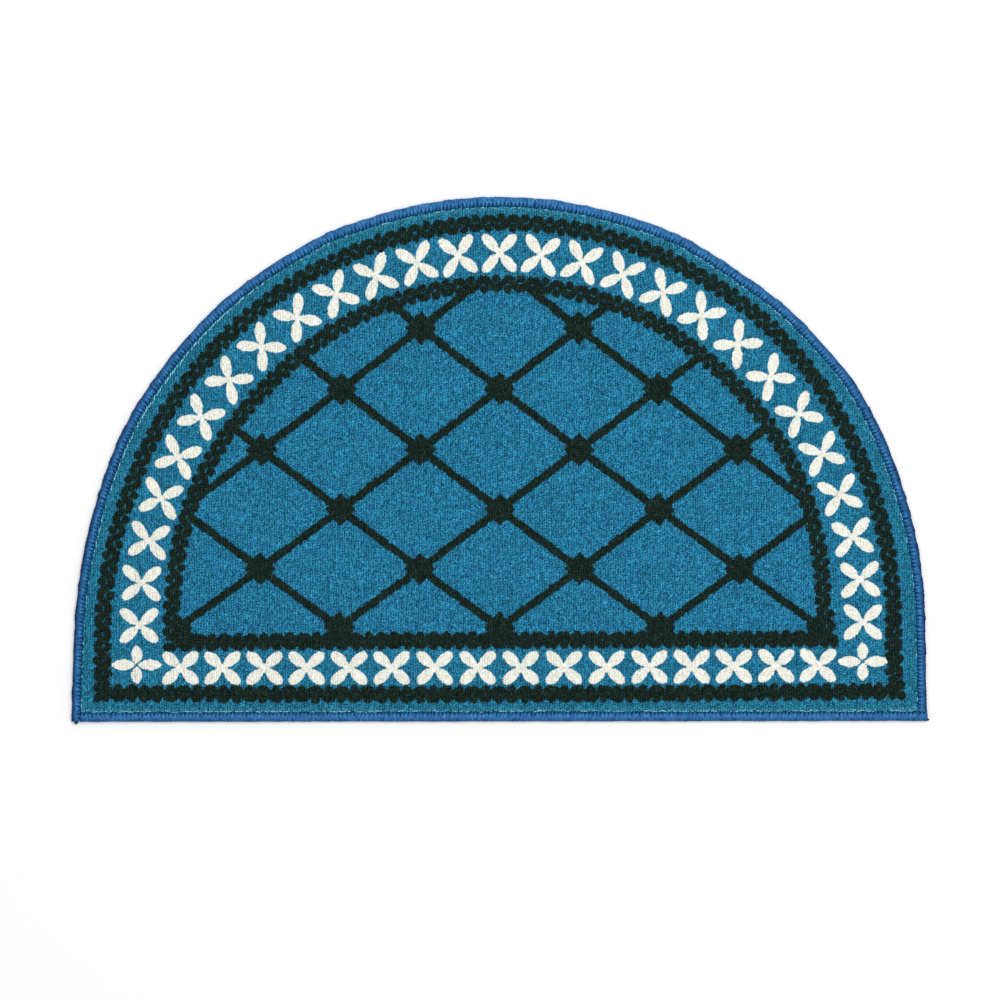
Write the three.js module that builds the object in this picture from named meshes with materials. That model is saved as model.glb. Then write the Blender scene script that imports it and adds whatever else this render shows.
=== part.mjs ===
// A half moon bath mat, lying flat: one cut piece of printed loop-pile carpet, and the overlocked
// yarn that wraps its cut edge in two runs, one round the arch and one along the straight front.
// Millimetres, +Z up. The origin is the middle of the mat's footprint, on the surface it lies on;
// the straight front edge faces -Y and the arch faces +Y.
import * as THREE from 'three';

// Outline, over the edging.
const width = 800;
const depth = 491;
const straightSide = 88; // height of the two sides below the arch
const archHalfWidth = 398.6; // the sides lean out a little towards the front corners
const archRise = depth - straightSide;
const frontY = -depth / 2;

// Where the edge was guided unevenly under the needle: the angle of each place on the arch, in
// degrees from the right, how far it spreads, and how far the edge swells out or is drawn in.
const unevenPlaces = [
  { angle: 34, spread: 9, out: 3.2 },
  { angle: 57, spread: 8, out: -0.6 },
  { angle: 125, spread: 18, out: -1.0 },
  { angle: 166, spread: 10, out: -3.0 },
];

// The edging: a roll of yarn outside the carpet's cut edge, and stitches over and under it as far
// as the line of needle holes.
const edgingReach = 8.6; // from the outer edge to the needle holes
const edgingHeight = 5.0;
const rollWidth = 4.6; // of solid yarn, outside the cut edge
const crownReach = 3.6; // depth of the rounded outside
const stitchThickness = 0.9; // over and under the carpet's edge
const stitchDip = { inward: 0.9, down: 0.25 }; // where a stitch goes down into its needle hole
const lipSlope = 0.4; // of the stitches' underside beside the needle holes

// The carpet: its full thickness inside the edging, and a pressed tongue inside the stitches.
const carpetThickness = 5.2;
const clearance = 0.3; // between the carpet and the yarn
const tongueUnder = stitchThickness + clearance;
const tongueOver = edgingHeight - stitchThickness - clearance;
const tongueInset = rollWidth + clearance;
const carpetInset = edgingReach + clearance;

// The rounded shoulder where the pile stands up beside the needle holes: how far in each point
// lies, and how far below the top of the pile.
const shoulder = [
  { inward: 0.3, down: 0.8 },
  { inward: 0.8, down: 0.25 },
  { inward: 1.7, down: 0 },
];

const archSteps = 96; // along the arch
const crownSteps = 6; // round the outside of the edging

const carpetColour = 0x26709a;
const edgingColour = 0x30669a;
const fabricRoughness = 0.95;

function swell(angle) {
  const degrees = THREE.MathUtils.radToDeg(angle);
  return unevenPlaces.reduce(
    (sum, place) => sum + place.out * Math.exp(-(((degrees - place.angle) / place.spread) ** 2)),
    0,
  );
}

// A point on the arch, inside the outline by inset.
function archPoint(angle, inset) {
  const out = swell(angle) - inset;
  return new THREE.Vector2(
    (archHalfWidth + out) * Math.cos(angle),
    frontY + straightSide + (archRise + out) * Math.sin(angle),
  );
}

// A point on a side, at a height above the front edge. The side is -1 for left and 1 for right.
function sidePoint(side, height, inset) {
  const top = archHalfWidth + swell(side < 0 ? Math.PI : 0);
  const halfWidth = THREE.MathUtils.lerp(width / 2, top, height / straightSide);
  return new THREE.Vector2(side * (halfWidth - inset), frontY + height);
}

// Up the left side, over the arch and down the right side. A foot is the height above the front
// edge at which that side starts.
function rimPoints(inset, leftFoot, rightFoot) {
  const points = [sidePoint(-1, leftFoot, inset)];
  for (let i = 0; i <= archSteps; i++) {
    points.push(archPoint(Math.PI * (1 - i / archSteps), inset));
  }
  points.push(sidePoint(1, rightFoot, inset));
  return points;
}

// The triangles of an end face, wound the same way round as its loop of points.
function endTriangles(flat) {
  const way = Math.sign(THREE.ShapeUtils.area(flat));
  return THREE.ShapeUtils.triangulateShape(flat, []).map(([a, b, c]) => {
    const triangle = [flat[a], flat[b], flat[c]];
    return Math.sign(THREE.ShapeUtils.area(triangle)) === way ? [a, b, c] : [c, b, a];
  });
}

// A closed skin over rings of equal count, each a closed loop of points. The end faces are
// triangulated from flat, which gives each ring point its place in the plane of the end.
function skin(rings, flat) {
  const count = rings[0].length;
  const positions = rings.flat().flatMap((point) => [point.x, point.y, point.z]);
  const index = [];
  for (let r = 0; r + 1 < rings.length; r++) {
    for (let i = 0; i < count; i++) {
      const a = r * count + i;
      const b = r * count + ((i + 1) % count);
      index.push(a, b, b + count, a, b + count, a + count);
    }
  }
  const last = (rings.length - 1) * count;
  for (const [a, b, c] of endTriangles(flat)) {
    index.push(c, b, a);
    index.push(last + a, last + b, last + c);
  }
  const geometry = new THREE.BufferGeometry();
  geometry.setAttribute('position', new THREE.Float32BufferAttribute(positions, 3));
  geometry.setIndex(index);
  geometry.computeVertexNormals();
  return geometry;
}

// The carpet, as one outline for each level from its underside to the top of its pile.
function carpetGeometry() {
  const levels = [
    { inset: carpetInset, height: 0 },
    { inset: carpetInset, height: tongueUnder },
    { inset: tongueInset, height: tongueUnder },
    { inset: tongueInset, height: tongueOver },
    { inset: carpetInset, height: tongueOver },
  ];
  for (const { inward, down } of shoulder) {
    levels.push({ inset: carpetInset + inward, height: carpetThickness - down });
  }
  const outlines = levels.map(({ inset }) => rimPoints(inset, inset, inset).reverse());
  const rings = outlines.map((outline, level) =>
    outline.map((point) => new THREE.Vector3(point.x, point.y, levels[level].height)),
  );
  return skin(rings, outlines[0]);
}

// The edging's section, as inset and height: from the needle holes, over the rounded outside and
// under to the flat foot, then back along the slot that holds the carpet's tongue.
function edgingSection() {
  const section = [];
  const crownHalfHeight = edgingHeight / 2;
  const slotTop = edgingHeight - stitchThickness;
  section.push({ inset: edgingReach, height: slotTop });
  section.push({
    inset: edgingReach - stitchDip.inward,
    height: edgingHeight - stitchDip.down,
  });
  for (let i = 0; i <= crownSteps; i++) {
    const turn = (Math.PI * i) / crownSteps;
    section.push({
      inset: crownReach * (1 - Math.sin(turn)),
      height: crownHalfHeight * (1 + Math.cos(turn)),
    });
  }
  section.push({ inset: edgingReach, height: 0 });
  section.push({ inset: edgingReach, height: stitchThickness });
  section.push({ inset: rollWidth, height: stitchThickness });
  section.push({ inset: rollWidth, height: slotTop });
  section.push({ inset: edgingReach - lipSlope, height: slotTop });
  return section;
}

function edgingArchGeometry() {
  const section = edgingSection();
  const rightFoot = edgingReach + clearance; // the right side ends on the front run
  const strands = section.map(({ inset }) => rimPoints(inset, 0, rightFoot).reverse());
  const rings = strands[0].map((_, station) =>
    section.map(({ height }, i) => {
      const point = strands[i][station];
      return new THREE.Vector3(point.x, point.y, height);
    }),
  );
  return skin(rings, section.map(({ inset, height }) => new THREE.Vector2(-inset, height)));
}

function edgingFrontGeometry() {
  const section = edgingSection();
  const ends = [-width / 2 + edgingReach + clearance, width / 2];
  const rings = ends.map((x) =>
    section.map(({ inset, height }) => new THREE.Vector3(x, frontY + inset, height)),
  );
  return skin(rings, section.map(({ inset, height }) => new THREE.Vector2(inset, height)));
}

function fabricMesh(name, geometry, color) {
  const material = new THREE.MeshStandardMaterial({
    color,
    roughness: fabricRoughness,
    metalness: 0,
  });
  const mesh = new THREE.Mesh(geometry, material);
  mesh.name = name;
  return mesh;
}

const mat = new THREE.Group();
mat.add(
  fabricMesh('mat_body', carpetGeometry(), carpetColour),
  fabricMesh('edging_arch', edgingArchGeometry(), edgingColour),
  fabricMesh('edging_front', edgingFrontGeometry(), edgingColour),
);

export default mat;
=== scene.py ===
"""A half moon bath mat: printed loop pile on a coated back, its cut edge overlocked with yarn.

Run as a script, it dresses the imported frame. Lengths are in metres, and the frame's own axes
hold: +Z up, the straight front edge towards -Y, the origin in the middle of the mat, on the floor.
"""

import math

import bpy
import numpy as np
from bpy.props import FloatProperty, FloatVectorProperty, IntProperty, PointerProperty
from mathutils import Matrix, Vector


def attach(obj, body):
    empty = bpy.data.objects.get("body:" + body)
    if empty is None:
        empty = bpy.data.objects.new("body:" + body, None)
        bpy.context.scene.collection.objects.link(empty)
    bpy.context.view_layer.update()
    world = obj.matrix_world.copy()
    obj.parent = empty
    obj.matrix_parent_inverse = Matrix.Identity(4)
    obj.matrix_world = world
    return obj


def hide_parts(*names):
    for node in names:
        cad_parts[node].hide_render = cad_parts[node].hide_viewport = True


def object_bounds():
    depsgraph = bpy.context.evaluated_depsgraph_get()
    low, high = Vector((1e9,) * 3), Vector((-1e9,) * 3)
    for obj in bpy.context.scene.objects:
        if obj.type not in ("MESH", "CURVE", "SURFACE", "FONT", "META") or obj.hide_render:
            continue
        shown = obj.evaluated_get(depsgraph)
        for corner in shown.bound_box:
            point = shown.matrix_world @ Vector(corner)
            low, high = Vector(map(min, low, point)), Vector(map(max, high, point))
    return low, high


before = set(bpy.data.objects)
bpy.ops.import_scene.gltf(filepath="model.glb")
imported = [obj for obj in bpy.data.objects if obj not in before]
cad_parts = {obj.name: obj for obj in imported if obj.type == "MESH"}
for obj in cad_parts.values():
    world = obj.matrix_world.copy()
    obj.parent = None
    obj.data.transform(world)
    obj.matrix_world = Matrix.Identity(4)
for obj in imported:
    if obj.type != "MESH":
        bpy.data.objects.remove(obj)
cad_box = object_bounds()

bl_info = {
    "name": "Half moon bath mat",
    "version": (1, 0, 0),
    "blender": (4, 5, 0),
    "location": "3D View > Sidebar > Bath mat",
    "description": "Loop pile, print, overlocked edging and backing of a half moon bath mat",
    "category": "Object",
}

MM = 0.001
SEED = 4311

# Outline, over the edging, as the frame has it, with finer unevenness added

WIDTH = cad_box[1][0] - cad_box[0][0]
DEPTH = cad_box[1][1] - cad_box[0][1]
FRONT_Y = cad_box[0][1]
SPRING_Y = FRONT_Y + 88 * MM  # where the straight sides end and the arch begins
ARCH_HALF_WIDTH = 398.6 * MM
ARCH_RISE = 403 * MM
# Angle in degrees from the right, spread in degrees, and how far the edge swells out there
UNEVEN_PLACES = (
    (34, 9, 3.2 * MM),
    (57, 8, -0.6 * MM),
    (125, 18, -1.0 * MM),
    (166, 10, -3.0 * MM),
    # Finer ones, where the stitches bunch up or pull in
    (22, 14, 0.45 * MM),
    (47.5, 5, 1.3 * MM),
    (65, 5, 1.8 * MM),
    (113.5, 4, 1.5 * MM),
    (128, 5, 0.6 * MM),
    (144, 6, -1.2 * MM),
    (157, 7, -0.6 * MM),
    (172, 6, -0.5 * MM),
)
SIDE_OUT = (1.3 * MM, 0.35 * MM)  # how far the left and the right side belly out
SIDE_FADE = 6  # the higher, the nearer to the arch they come back in
FRONT_LEAN = 0.45 * MM  # how far the front edge drops at its left end and rises at its right
EDGING_REACH = 8.6 * MM  # from the outer edge to the needle holes
SLOT_DEPTH = 4.0 * MM  # how far the carpet's edge lies inside the edging
CLEARANCE = 0.3 * MM
SIDE_POINTS, ARC_STEPS, FRONT_POINTS = 45, 720, 200


def bulge(places, degrees):
    """How far a curve is swollen at an angle, by a list of places."""
    return sum(out * np.exp(-(((degrees - angle) / spread) ** 2)) for angle, spread, out in places)


def swell(degrees):
    """How far the outline bulges past its plain ellipse at an angle."""
    return bulge(UNEVEN_PLACES, degrees)


def half_width(left, height):
    """Half the mat's width at a height above the front edge, on the left or on the right."""
    share = np.clip(height / (SPRING_Y - FRONT_Y), 0, 1)
    top = ARCH_HALF_WIDTH + np.where(left, swell(180.0), swell(0.0))
    belly = np.where(left, *SIDE_OUT) * (1 - share**SIDE_FADE)
    return WIDTH / 2 + (top - WIDTH / 2) * share + belly


def front_edge(x):
    """Where the front edge lies, at each place along it."""
    return FRONT_Y + FRONT_LEAN * x / (WIDTH / 2)


def inset_of(x, y):
    """How far inside the mat's outline each place lies."""
    up = (y - SPRING_Y) / ARCH_RISE
    angle = np.degrees(np.arctan2(np.maximum(up, 0), x / ARCH_HALF_WIDTH))
    size = np.hypot(x / ARCH_HALF_WIDTH, up)
    arch = (1 - size) * (ARCH_HALF_WIDTH + ARCH_RISE) / 2 + swell(angle)
    side = half_width(x < 0, y - FRONT_Y) - np.abs(x)
    return np.minimum(np.where(y > SPRING_Y, arch, side), y - front_edge(x))


class Run:
    """One run of the edge: its points, and the way inwards, by length along it."""

    def __init__(self, points):
        step = np.gradient(points, axis=0)
        step /= np.linalg.norm(step, axis=1)[:, None]
        apart = np.linalg.norm(np.diff(points, axis=0), axis=1)
        self.points = points
        self.inward = np.stack([step[:, 1], -step[:, 0]], axis=1)
        self.along = np.concatenate([[0], np.cumsum(apart)])
        self.length = self.along[-1]

    def place(self, along, inset):
        """Where a point lies, from its length along the run and its distance in from the edge."""
        at = [np.interp(along, self.along, self.points[:, k]) for k in range(2)]
        way = [np.interp(along, self.along, self.inward[:, k]) for k in range(2)]
        return at[0] + way[0] * inset, at[1] + way[1] * inset


def arch_run(right_foot):
    """From the front left corner up the left side, over the arch and down the right side."""
    rise = (SPRING_Y - FRONT_Y) * np.linspace(0, 1, SIDE_POINTS)
    left = np.stack([-half_width(True, rise), FRONT_Y + rise], axis=1)
    degrees = np.linspace(180, 0, ARC_STEPS + 1)
    turn = np.radians(degrees)
    out = swell(degrees)
    arch = np.stack(
        [(ARCH_HALF_WIDTH + out) * np.cos(turn), SPRING_Y + (ARCH_RISE + out) * np.sin(turn)],
        axis=1,
    )
    fall = np.linspace(SPRING_Y - FRONT_Y, right_foot, SIDE_POINTS)
    right = np.stack([half_width(False, fall), FRONT_Y + fall], axis=1)
    return Run(np.concatenate([left[:-1], arch, right[1:]]))


def front_run(left_foot):
    """Along the straight front edge, from right to left."""
    right, left = half_width(False, 0.0), left_foot - half_width(True, 0.0)
    x = np.linspace(right, left, FRONT_POINTS)
    return Run(np.stack([x, front_edge(x)], axis=1))


# Chance, always the same

NOISE_CELLS = (61, 67)  # after which the soft noise repeats


def soft_noise(x, y, cell, seed):
    """Smooth noise from -1 to 1, which changes over about one cell."""
    table = np.random.default_rng(seed).uniform(-1, 1, NOISE_CELLS)
    column, row = np.floor(x / cell).astype(int), np.floor(y / cell).astype(int)
    across, up = x / cell - column, y / cell - row
    across, up = across * across * (3 - 2 * across), up * up * (3 - 2 * up)

    def corner(right, above):
        return table[(column + right) % NOISE_CELLS[0], (row + above) % NOISE_CELLS[1]]

    low = corner(0, 0) * (1 - across) + corner(1, 0) * across
    high = corner(0, 1) * (1 - across) + corner(1, 1) * across
    return low * (1 - up) + high * up


def jitter(rng, spread, most, shape):
    """Random numbers round zero, none further off than most."""
    return rng.normal(0, spread, shape).clip(-most, most)


# The print: each function gives the distance to a motif, less than zero inside it

FAR = 1.0  # a distance out of reach of every motif

LATTICE_COLUMN = 75.1 * MM  # half the width of a diamond, in the lowest row
COLUMN_NARROWING = 0.27 * MM  # for each row upwards
LATTICE_ROW = 56.1 * MM
ROW_CREEP = 0.0053
LATTICE_ROWS = 5
LATTICE_LINE = 7.5 * MM
KNOT_HALF = (11.7 * MM, 9.6 * MM)
KNOT_CORNER = 3.5 * MM
KNOT_POINTS = (14.8 * MM, 15.8 * MM)  # the diamond whose corners stick out of the knot
KNOT_POINT_SLOPE = 0.7  # of the distance across that diamond's slanting sides
KNOT_COLUMNS = 3.5
CORNER_KNOT_LOWER = 5 * MM  # than the others, at the left end of the lowest row

BAND_CENTRE_X = -0.3 * MM
WAVE_PERIOD = 23.65 * MM
WAVE_LINE = 7.1 * MM
WAVE_SWING = 4.3 * MM
DOT_RADIUS = 4.0 * MM
DOT_OUT = 4.8 * MM
INK_CREEP = 1.8 * MM  # across the narrow gaps beside a dot
SIDE_BLEED = 0.25 * MM  # how much further the ink runs on the sides than over the arch
BLEED_REACH = 30 * MM  # above and below the arch's foot, over which that comes in
ROW_LINE = 7.5 * MM
ROW_SWING = 4.3 * MM
ROW_DOT_RADIUS = 4.3 * MM
ROW_DOT_OUT = 4.3 * MM
# Each arched wave drifts against even steps, in periods: at its start, by its end, and between
OUTER_DRIFT = (0.24, 0.16, 0.0, 0.26)
INNER_DRIFT = (0.36, -0.62, 0.2, 0.1)
# How far each arched wave lies from the middle of the arch: its mean, and what it gains with the
# cosine of the angle, of twice and of four times the angle, and with the sine of twice the angle
OUTER_SHAPE = (374.4 * MM, -1.4 * MM, -4.3 * MM, 0.0, 2.7 * MM)
INNER_SHAPE = (314.75 * MM, -2.1 * MM, -8.75 * MM, -1.75 * MM, 2.0 * MM)
# Where a wave bulges, as for the outline: angle, spread and how far out
OUTER_BULGES = ((163, 14, -2.0 * MM), (47, 14, 1.4 * MM))
INNER_BULGES = (
    (161, 14, 1.8 * MM),
    (131, 13, -2.8 * MM),
    (53, 14, -2.0 * MM),
    (21, 16, 3.3 * MM),
)
OUTER_ROW = (FRONT_Y + 26.2 * MM, -148.2 * MM, 24.55 * MM)  # height, one crest, period
INNER_ROW = (FRONT_Y + 75.8 * MM, -183.9 * MM, 24.4 * MM)
# How far each row lies above its height at its left end, in the middle and at its right end
OUTER_RISE = (0.5 * MM, -0.9 * MM, 2.5 * MM)
INNER_RISE = (-1.8 * MM, 0.3 * MM, 1.7 * MM)
# How far the left and the right side of each wave lean outwards at the foot
OUTER_SPLAY = (1.1 * MM, 3.2 * MM)
INNER_SPLAY = (0.5 * MM, 6.0 * MM)
SPLAY_HEIGHT = 34 * MM
END_DOT_OUT = 3.8 * MM
END_DOT_DOWN = 4.3 * MM

FLOWER_CENTRE = (1.2 * MM, FRONT_Y + 89.9 * MM)
FLOWER_ARCH = (338.5 * MM, 348.6 * MM)
ARCH_FLOWERS = 27
ARCH_FLOWER_STEP = 6.901  # degrees
ARCH_FLOWER_CREEP = -0.757
FLOWER_LEAN = 4.5  # degrees, to the other side past the top of the arch
LEAN_TURN = 12  # degrees from the top, over which the lean changes sides
LEAN_END = 6  # degrees from the foot of the arch, over which it comes in
FLOWER_ROW_Y = FRONT_Y + 50.1 * MM
FLOWER_ROW_RISE = 2.6 * MM  # towards the right end
ROW_FLOWERS = 16
ROW_FLOWER_STEP = 39.76 * MM
ROW_FLOWER_START = -298.7 * MM
ROW_FLOWER_CREEP = -1.4 * MM
CORNER_FLOWERS = ((-339.7 * MM, FRONT_Y + 53.2 * MM), (339.5 * MM, FRONT_Y + 56.3 * MM))
# Where a corner flower's petals start and end, sideways and upwards, and half their width
LENS_SIDEWAYS = (1.2 * MM, 23.9 * MM)
LENS_UPWARDS = (1.4 * MM, 18.0 * MM)
LENS_HALF_WIDTH = 5.1 * MM
FLOWER_SIZE = 30 * MM  # no petal reaches further from the middle of its flower


class Petal:
    """The sizes of a petal: an egg that ends in a neck at the flower's middle."""

    def __init__(self, spread, middle, to_tip, to_root, half_width, neck):
        self.spread = math.radians(spread)  # from the axis between two petals
        self.middle = middle * MM  # of the egg, from the middle of the flower
        self.to_tip, self.to_root = to_tip * MM, to_root * MM
        self.half_width, self.neck = half_width * MM, neck * MM


ARCH_PETAL = Petal(41.5, 14.0, 9.2, 11.6, 5.0, 2.1)
ROW_PETAL = Petal(42, 12.6, 9.1, 9.8, 5.2, 2.75)


def lattice(x, y):
    """The crossed lines and the knots where they meet."""
    rows = (y - SPRING_Y) / LATTICE_ROW
    rows = rows + ROW_CREEP * rows * (LATTICE_ROWS - rows)
    column_width = LATTICE_COLUMN - COLUMN_NARROWING * rows
    columns = x / column_width
    rising, falling = columns + rows, columns - rows
    near_rising, near_falling = 2 * np.round(rising / 2), 2 * np.round(falling / 2)
    slope = 1 / math.hypot(1 / LATTICE_COLUMN, 1 / LATTICE_ROW)
    off = np.minimum(np.abs(rising - near_rising), np.abs(falling - near_falling))
    lines = off * slope - LATTICE_LINE / 2
    knot_column, knot_row = (near_rising + near_falling) / 2, (near_rising - near_falling) / 2
    across = np.abs(columns - knot_column) * column_width
    up = np.abs(rows - knot_row) * LATTICE_ROW
    up = up + np.where(knot_column < -KNOT_COLUMNS, CORNER_KNOT_LOWER, 0)
    over_x, over_y = across - KNOT_HALF[0] + KNOT_CORNER, up - KNOT_HALF[1] + KNOT_CORNER
    square = np.hypot(np.maximum(over_x, 0), np.maximum(over_y, 0)) - KNOT_CORNER
    square = square + np.minimum(np.maximum(over_x, over_y), 0)
    diamond = (across / KNOT_POINTS[0] + up / KNOT_POINTS[1] - 1) * KNOT_POINTS[1]
    knots = np.minimum(square, diamond * KNOT_POINT_SLOPE)
    bare = (np.abs(knot_column) > KNOT_COLUMNS) & (knot_row != 0)
    return np.minimum(lines, np.where(bare, FAR, knots))


def reach_at(turn, shape, bulges):
    """How far a wave lies from the middle of the arch, by angle."""
    mean, once, twice, four_times, twice_by_sine = shape
    even = mean + twice * np.cos(2 * turn) + four_times * np.cos(4 * turn)
    uneven = twice_by_sine * np.sin(2 * turn) + once * np.cos(turn)
    return even + uneven + bulge(bulges, np.degrees(turn))


def outer_reach(turn):
    """How far the outer wave lies from the middle of the arch, by angle."""
    return reach_at(turn, OUTER_SHAPE, OUTER_BULGES)


def inner_reach(turn):
    """How far the inner wave lies from the middle of the arch, by angle."""
    return reach_at(turn, INNER_SHAPE, INNER_BULGES)


def along_and_out(x, y, reach):
    """Places as lengths along an arched band and distances out from it."""
    turns = np.linspace(math.pi, 0, ARC_STEPS + 1)
    radii = reach(turns)
    steps = (radii[1:] + radii[:-1]) / 2 * (math.pi / ARC_STEPS)
    lengths = np.concatenate([[0], np.cumsum(steps)])
    from_x = x - BAND_CENTRE_X
    turn = np.arctan2(np.maximum(y - SPRING_Y, 0), from_x)
    along_arch = np.interp(-turn, -turns, lengths)
    out_arch = np.hypot(from_x, y - SPRING_Y) - reach(turn)
    below = SPRING_Y - y
    along_side = np.where(from_x < 0, -below, lengths[-1] + below)
    out_side = np.abs(from_x) - np.where(from_x < 0, radii[0], radii[-1])
    straight = below > 0
    along = np.where(straight, along_side, along_arch)
    return along, np.where(straight, out_side, out_arch), lengths[-1]


def soft_min(first, second, reach):
    """The smaller of two distances, with the narrow gaps between the shapes filled."""
    share = (0.5 + 0.5 * (second - first) / reach).clip(0, 1)
    return second * (1 - share) + first * share - reach * share * (1 - share)


def wave(crests, out, period, line, swing, dot_radius, dot_out):
    """A wavy line with a round dot in each hollow of it. Each whole number in crests is a crest."""
    turn = 2 * math.pi * crests
    slope = 2 * math.pi * swing / period * np.sin(turn)
    ribbon = np.abs(out - swing * np.cos(turn)) / np.hypot(1, slope) - line / 2
    from_hollow = (crests - 0.5) - np.round(crests - 0.5)
    from_crest = crests - np.round(crests)
    dots_out = np.hypot(from_hollow * period, out - dot_out) - dot_radius
    dots_in = np.hypot(from_crest * period, out + dot_out) - dot_radius
    return soft_min(ribbon, np.minimum(dots_out, dots_in), INK_CREEP)


def arched_band(x, y, reach, drift, foot_y, splay):
    """A wave up one side, over the arch and down the other side, to its straight row."""
    along, out, length = along_and_out(x, y, reach)
    low = ((foot_y + SPLAY_HEIGHT - y) / SPLAY_HEIGHT).clip(0, 1)
    out = out - np.where(x < 0, splay[0], splay[1]) * low
    start, by_end, middle, twice = drift
    share = along / length
    drifted = start + by_end * share
    drifted = drifted + middle * np.sin(math.pi * share) + twice * np.sin(2 * math.pi * share)
    crests = along / WAVE_PERIOD - drifted
    shape = wave(crests, out, WAVE_PERIOD, WAVE_LINE, WAVE_SWING, DOT_RADIUS, DOT_OUT)
    bled = ((SPRING_Y + BLEED_REACH - y) / (2 * BLEED_REACH)).clip(0, 1) * SIDE_BLEED
    return np.maximum(shape - bled, foot_y - y)


def straight_band(x, y, row, rise, left, right):
    """A wave along a nearly straight row, with a round dot at each end."""
    row_y, crest_x, period = row
    share = ((x - left) / (right - left)).clip(0, 1)
    middle = row_y + rise[0] * (1 - share) ** 3 + rise[2] * share**3
    middle = middle + rise[1] * np.sin(math.pi * share)
    crests = (x - crest_x) / period
    shape = wave(crests, y - middle, period, ROW_LINE, ROW_SWING, ROW_DOT_RADIUS, ROW_DOT_OUT)
    shape = np.maximum(shape, np.maximum(left - x, x - right))
    past_end = np.minimum(np.abs(x - left + END_DOT_OUT), np.abs(x - right - END_DOT_OUT))
    end_dots = np.hypot(past_end, y - middle + END_DOT_DOWN) - ROW_DOT_RADIUS
    return np.minimum(shape, end_dots)


def petals(x, y, centre, turn, petal):
    """Four petals, at the spread angle to either side of an axis turned by turn."""
    from_x, from_y = x - centre[0], y - centre[1]
    u = np.abs(from_x * math.cos(turn) + from_y * math.sin(turn))
    v = np.abs(from_y * math.cos(turn) - from_x * math.sin(turn))
    along = u * math.cos(petal.spread) + v * math.sin(petal.spread)
    across = v * math.cos(petal.spread) - u * math.sin(petal.spread)
    half_length = np.where(along > petal.middle, petal.to_tip, petal.to_root)
    egg = np.hypot((along - petal.middle) / half_length, across / petal.half_width) - 1
    neck = np.hypot(np.maximum(along - petal.middle / 2, 0), across) - petal.neck
    return np.minimum(egg * petal.half_width, neck)


def lens_flower(x, y, centre):
    """A corner flower: four pointed petals, the sideways ones longer, a little apart."""
    u, v = np.abs(x - centre[0]), np.abs(y - centre[1])
    shapes = []
    for along, across, (start, end) in ((u, v, LENS_SIDEWAYS), (v, u, LENS_UPWARDS)):
        half_length = (end - start) / 2
        bend = (half_length**2 + LENS_HALF_WIDTH**2) / (2 * LENS_HALF_WIDTH)
        middle = start + half_length
        shapes.append(np.hypot(along - middle, across + bend - LENS_HALF_WIDTH) - bend)
    return np.minimum(*shapes)


def flower_places():
    """Centre, turn and petal of every flower with crossed petals."""
    places = []
    for k in range(ARCH_FLOWERS):
        even = 180 - ARCH_FLOWER_STEP * k
        degrees = even + ARCH_FLOWER_CREEP * math.sin(4 * math.radians(even))
        turn = math.radians(degrees)
        centre = (
            FLOWER_CENTRE[0] + FLOWER_ARCH[0] * math.cos(turn),
            FLOWER_CENTRE[1] + FLOWER_ARCH[1] * math.sin(turn),
        )
        at_end = min(1, max(0, min(degrees, 180 - degrees) / LEAN_END))
        lean = FLOWER_LEAN * math.tanh((degrees - 90) / LEAN_TURN) * at_end
        places.append((centre, math.radians(degrees + lean), ARCH_PETAL))
    for k in range(ROW_FLOWERS):
        share = k / (ROW_FLOWERS - 1)
        creep = ROW_FLOWER_CREEP * math.sin(2 * math.pi * share)
        centre = (
            ROW_FLOWER_START + ROW_FLOWER_STEP * k + creep,
            FLOWER_ROW_Y + FLOWER_ROW_RISE * share**3,
        )
        places.append((centre, 0.0, ROW_PETAL))
    return places


def flowers(x, y):
    """All the white flowers of the border."""
    nearest = np.full_like(x, FAR)

    def near(centre):
        return (np.abs(x - centre[0]) < FLOWER_SIZE) & (np.abs(y - centre[1]) < FLOWER_SIZE)

    for centre, turn, petal in flower_places():
        here = near(centre)
        shape = petals(x[here], y[here], centre, turn, petal)
        nearest[here] = np.minimum(nearest[here], shape)
    for centre in CORNER_FLOWERS:
        here = near(centre)
        nearest[here] = np.minimum(nearest[here], lens_flower(x[here], y[here], centre))
    return nearest


def black_print(x, y):
    """Everything printed black: the lattice inside the inner wave, and both waves."""
    shapes = []
    for reach, drift, row, rise, splay in (
        (inner_reach, INNER_DRIFT, INNER_ROW, INNER_RISE, INNER_SPLAY),
        (outer_reach, OUTER_DRIFT, OUTER_ROW, OUTER_RISE, OUTER_SPLAY),
    ):
        left, right = -reach(math.pi) - splay[0], reach(0.0) + splay[1]
        shapes.append(arched_band(x, y, reach, drift, row[0], splay))
        shapes.append(straight_band(x, y, row, rise, left, right))
    past_inner = along_and_out(x, y, inner_reach)[1]
    shapes.append(np.maximum(np.maximum(past_inner, INNER_ROW[0] - y), lattice(x, y)))
    return np.minimum.reduce(shapes)


# Pile: one grid of loops over the whole mat, cut into strips

VERTS_PER_COLUMN = 3
VERTS_PER_ROW = 2
SHOULDER = 3.2 * MM  # over which the pile rises from the needle holes
PRESSED_TOP = 3.7 * MM
PILE_END = 5.6 * MM  # how far in from the edge the pile starts, under the edging
PILE_ROOT = 1.9 * MM
LEAST_LOOP = 0.3 * MM  # above its root
# How far the rows wander off straight lines, and over what lengths
WANDER = 0.9 * MM
WANDER_CELLS = (26 * MM, 31 * MM)
# How far single loops stray sideways, along their row and upwards
STRAY = (0.16 * MM, 0.30 * MM, 0.24 * MM)
PATCH_CELL = 9 * MM  # the size of patches that stand a little higher or lower
PATCH_LIFT = 0.05 * MM
DYE_STRAY = 0.5 * MM  # how far off its place a loop is dyed
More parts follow.
